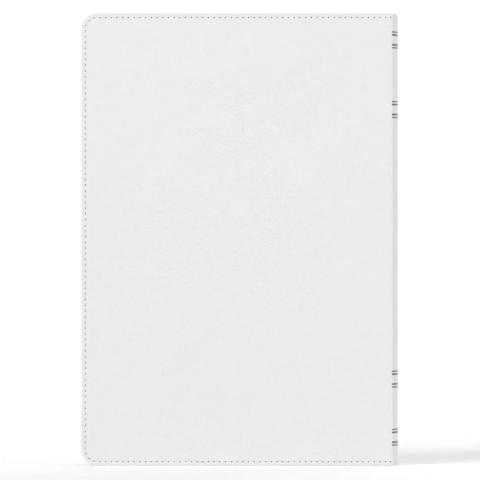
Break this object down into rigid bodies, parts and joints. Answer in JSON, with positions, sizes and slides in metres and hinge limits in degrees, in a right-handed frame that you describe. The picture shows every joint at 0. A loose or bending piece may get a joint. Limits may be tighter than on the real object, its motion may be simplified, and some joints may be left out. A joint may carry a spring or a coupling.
{
  "type": "bible",
  "caption": "Closed bible standing upright, with a stitched white leather-look case, rounded hollow spine with foil rules, and covers and page sections that open.",
  "frame": {"origin": "centre of the closed book's outline at the level of its tail edge", "axes": "+Z from tail to head, +X towards the spine, +Y out of the front cover, -Y out of the back cover"},
  "size_m": [0.155, 0.0308, 0.221],
  "materials": {
    "cover_leather": "white polyurethane leather-look with a fine pebble grain",
    "binder_board": "grey binder's board",
    "endpaper": "plain endpaper",
    "bible_paper": "thin bible paper with silvered edges",
    "cover_thread": "white polyester sewing thread",
    "linen_thread": "linen book thread",
    "silver_foil": "hot-stamped silver foil",
    "kraft_lining": "kraft paper",
    "mull_cloth": "open-weave mull",
    "headband_cloth": "woven two-tone headband",
    "ribbon_satin": "satin ribbon"
  },
  "bodies": {
    "text_block": {"spine_skin": "cover_leather", "spine_stiffener": "binder_board", "spine_foil_bands": "silver_foil", "spine_lining": "kraft_lining", "mull": "mull_cloth", "sewing_thread": "linen_thread", "headband": "headband_cloth", "tailband": "headband_cloth", "ribbon_marker": "ribbon_satin", "front_joint_leather": "cover_leather", "back_joint_leather": "cover_leather", "front_joint_stitching": "cover_thread", "back_joint_stitching": "cover_thread", "front_hinge_paper": "endpaper", "back_hinge_paper": "endpaper", "signature_09": "bible_paper", "signature_10": "bible_paper", "signature_11": "bible_paper", "signature_12": "bible_paper"},
    "front_cover": {"front_cover_skin": "cover_leather", "front_board": "binder_board", "front_pastedown": "endpaper", "front_stitching": "cover_thread", "front_foil_cross": "silver_foil"},
    "back_cover": {"back_cover_skin": "cover_leather", "back_board": "binder_board", "back_pastedown": "endpaper", "back_stitching": "cover_thread"},
    "front_flyleaf": {"front_flyleaf": "endpaper"},
    "back_flyleaf": {"back_flyleaf": "endpaper"},
    "presentation_leaf": {"presentation_leaf": "endpaper"},
    "map_leaf": {"map_leaf": "endpaper"},
    "signature_01": {"signature_01": "bible_paper"},
    "signature_02": {"signature_02": "bible_paper"},
    "signature_03": {"signature_03": "bible_paper"},
    "signature_04": {"signature_04": "bible_paper"},
    "signature_05": {"signature_05": "bible_paper"},
    "signature_06": {"signature_06": "bible_paper"},
    "signature_07": {"signature_07": "bible_paper"},
    "signature_08": {"signature_08": "bible_paper"},
    "signature_13": {"signature_13": "bible_paper"},
    "signature_14": {"signature_14": "bible_paper"},
    "signature_15": {"signature_15": "bible_paper"},
    "signature_16": {"signature_16": "bible_paper"},
    "signature_17": {"signature_17": "bible_paper"},
    "signature_18": {"signature_18": "bible_paper"},
    "signature_19": {"signature_19": "bible_paper"},
    "signature_20": {"signature_20": "bible_paper"}
  },
  "joints": [
    {"name": "front_cover_hinge", "type": "hinge", "parent": "text_block", "child": "front_cover", "pos_m": [0.0712, 0.0133, 0], "axis": [0, 0, -1], "range_deg": [0, 180], "deforming": ["front_joint_leather", "front_joint_stitching", "front_hinge_paper"]},
    {"name": "back_cover_hinge", "type": "hinge", "parent": "text_block", "child": "back_cover", "pos_m": [0.0712, -0.0133, 0], "axis": [0, 0, 1], "range_deg": [0, 180], "deforming": ["back_joint_leather", "back_joint_stitching", "back_hinge_paper"]},
    {"name": "front_flyleaf_fold", "type": "hinge", "parent": "text_block", "child": "front_flyleaf", "pos_m": [0.07115, 0.01314, 0], "axis": [0, 0, -1], "range_deg": [0, 112]},
    {"name": "presentation_leaf_fold", "type": "hinge", "parent": "text_block", "child": "presentation_leaf", "pos_m": [0.07085, 0.01293, 0], "axis": [0, 0, -1], "range_deg": [0, 76]},
    {"name": "back_flyleaf_fold", "type": "hinge", "parent": "text_block", "child": "back_flyleaf", "pos_m": [0.07115, -0.01314, 0], "axis": [0, 0, 1], "range_deg": [0, 112]},
    {"name": "map_leaf_fold", "type": "hinge", "parent": "text_block", "child": "map_leaf", "pos_m": [0.07085, -0.01293, 0], "axis": [0, 0, 1], "range_deg": [0, 76]},
    {"name": "signature_01_fold", "type": "hinge", "parent": "text_block", "child": "signature_01", "pos_m": [0.07073, -0.01216, 0], "axis": [0, 0, 1], "range_deg": [0, 20]},
    {"name": "signature_02_fold", "type": "hinge", "parent": "text_block", "child": "signature_02", "pos_m": [0.071, -0.01088, 0], "axis": [0, 0, 1], "range_deg": [0, 17.5]},
    {"name": "signature_03_fold", "type": "hinge", "parent": "text_block", "child": "signature_03", "pos_m": [0.07124, -0.0096, 0], "axis": [0, 0, 1], "range_deg": [0, 15]},
    {"name": "signature_04_fold", "type": "hinge", "parent": "text_block", "child": "signature_04", "pos_m": [0.07145, -0.00832, 0], "axis": [0, 0, 1], "range_deg": [0, 12.5]},
    {"name": "signature_05_fold", "type": "hinge", "parent": "text_block", "child": "signature_05", "pos_m": [0.07163, -0.00704, 0], "axis": [0, 0, 1], "range_deg": [0, 10]},
    {"name": "signature_06_fold", "type": "hinge", "parent": "text_block", "child": "signature_06", "pos_m": [0.07178, -0.00576, 0], "axis": [0, 0, 1], "range_deg": [0, 7.5]},
    {"name": "signature_07_fold", "type": "hinge", "parent": "text_block", "child": "signature_07", "pos_m": [0.0719, -0.00448, 0], "axis": [0, 0, 1], "range_deg": [0, 5]},
    {"name": "signature_08_fold", "type": "hinge", "parent": "text_block", "child": "signature_08", "pos_m": [0.07199, -0.0032, 0], "axis": [0, 0, 1], "range_deg": [0, 2.5]},
    {"name": "signature_13_fold", "type": "hinge", "parent": "text_block", "child": "signature_13", "pos_m": [0.07199, 0.0032, 0], "axis": [0, 0, -1], "range_deg": [0, 2.5]},
    {"name": "signature_14_fold", "type": "hinge", "parent": "text_block", "child": "signature_14", "pos_m": [0.0719, 0.00448, 0], "axis": [0, 0, -1], "range_deg": [0, 5]},
    {"name": "signature_15_fold", "type": "hinge", "parent": "text_block", "child": "signature_15", "pos_m": [0.07178, 0.00576, 0], "axis": [0, 0, -1], "range_deg": [0, 7.5]},
    {"name": "signature_16_fold", "type": "hinge", "parent": "text_block", "child": "signature_16", "pos_m": [0.07163, 0.00704, 0], "axis": [0, 0, -1], "range_deg": [0, 10]},
    {"name": "signature_17_fold", "type": "hinge", "parent": "text_block", "child": "signature_17", "pos_m": [0.07145, 0.00832, 0], "axis": [0, 0, -1], "range_deg": [0, 12.5]},
    {"name": "signature_18_fold", "type": "hinge", "parent": "text_block", "child": "signature_18", "pos_m": [0.07124, 0.0096, 0], "axis": [0, 0, -1], "range_deg": [0, 15]},
    {"name": "signature_19_fold", "type": "hinge", "parent": "text_block", "child": "signature_19", "pos_m": [0.071, 0.01088, 0], "axis": [0, 0, -1], "range_deg": [0, 17.5]},
    {"name": "signature_20_fold", "type": "hinge", "parent": "text_block", "child": "signature_20", "pos_m": [0.07073, 0.01216, 0], "axis": [0, 0, -1], "range_deg": [0, 20]}
  ],
  "couplings": [
    {"joint": "front_flyleaf_fold", "follows": "front_cover_hinge", "ratio": 0.622},
    {"joint": "presentation_leaf_fold", "follows": "front_cover_hinge", "ratio": 0.422},
    {"joint": "back_flyleaf_fold", "follows": "back_cover_hinge", "ratio": 0.622},
    {"joint": "map_leaf_fold", "follows": "back_cover_hinge", "ratio": 0.422},
    {"joint": "signature_01_fold", "follows": "back_cover_hinge", "ratio": 0.11106},
    {"joint": "signature_02_fold", "follows": "back_cover_hinge", "ratio": 0.097174},
    {"joint": "signature_03_fold", "follows": "back_cover_hinge", "ratio": 0.083292},
    {"joint": "signature_04_fold", "follows": "back_cover_hinge", "ratio": 0.06941},
    {"joint": "signature_05_fold", "follows": "back_cover_hinge", "ratio": 0.055528},
    {"joint": "signature_06_fold", "follows": "back_cover_hinge", "ratio": 0.041646},
    {"joint": "signature_07_fold", "follows": "back_cover_hinge", "ratio": 0.027764},
    {"joint": "signature_08_fold", "follows": "back_cover_hinge", "ratio": 0.013882},
    {"joint": "signature_13_fold", "follows": "front_cover_hinge", "ratio": 0.013882},
    {"joint": "signature_14_fold", "follows": "front_cover_hinge", "ratio": 0.027764},
    {"joint": "signature_15_fold", "follows": "front_cover_hinge", "ratio": 0.041646},
    {"joint": "signature_16_fold", "follows": "front_cover_hinge", "ratio": 0.055528},
    {"joint": "signature_17_fold", "follows": "front_cover_hinge", "ratio": 0.06941},
    {"joint": "signature_18_fold", "follows": "front_cover_hinge", "ratio": 0.083292},
    {"joint": "signature_19_fold", "follows": "front_cover_hinge", "ratio": 0.097174},
    {"joint": "signature_20_fold", "follows": "front_cover_hinge", "ratio": 0.11106}
  ]
}
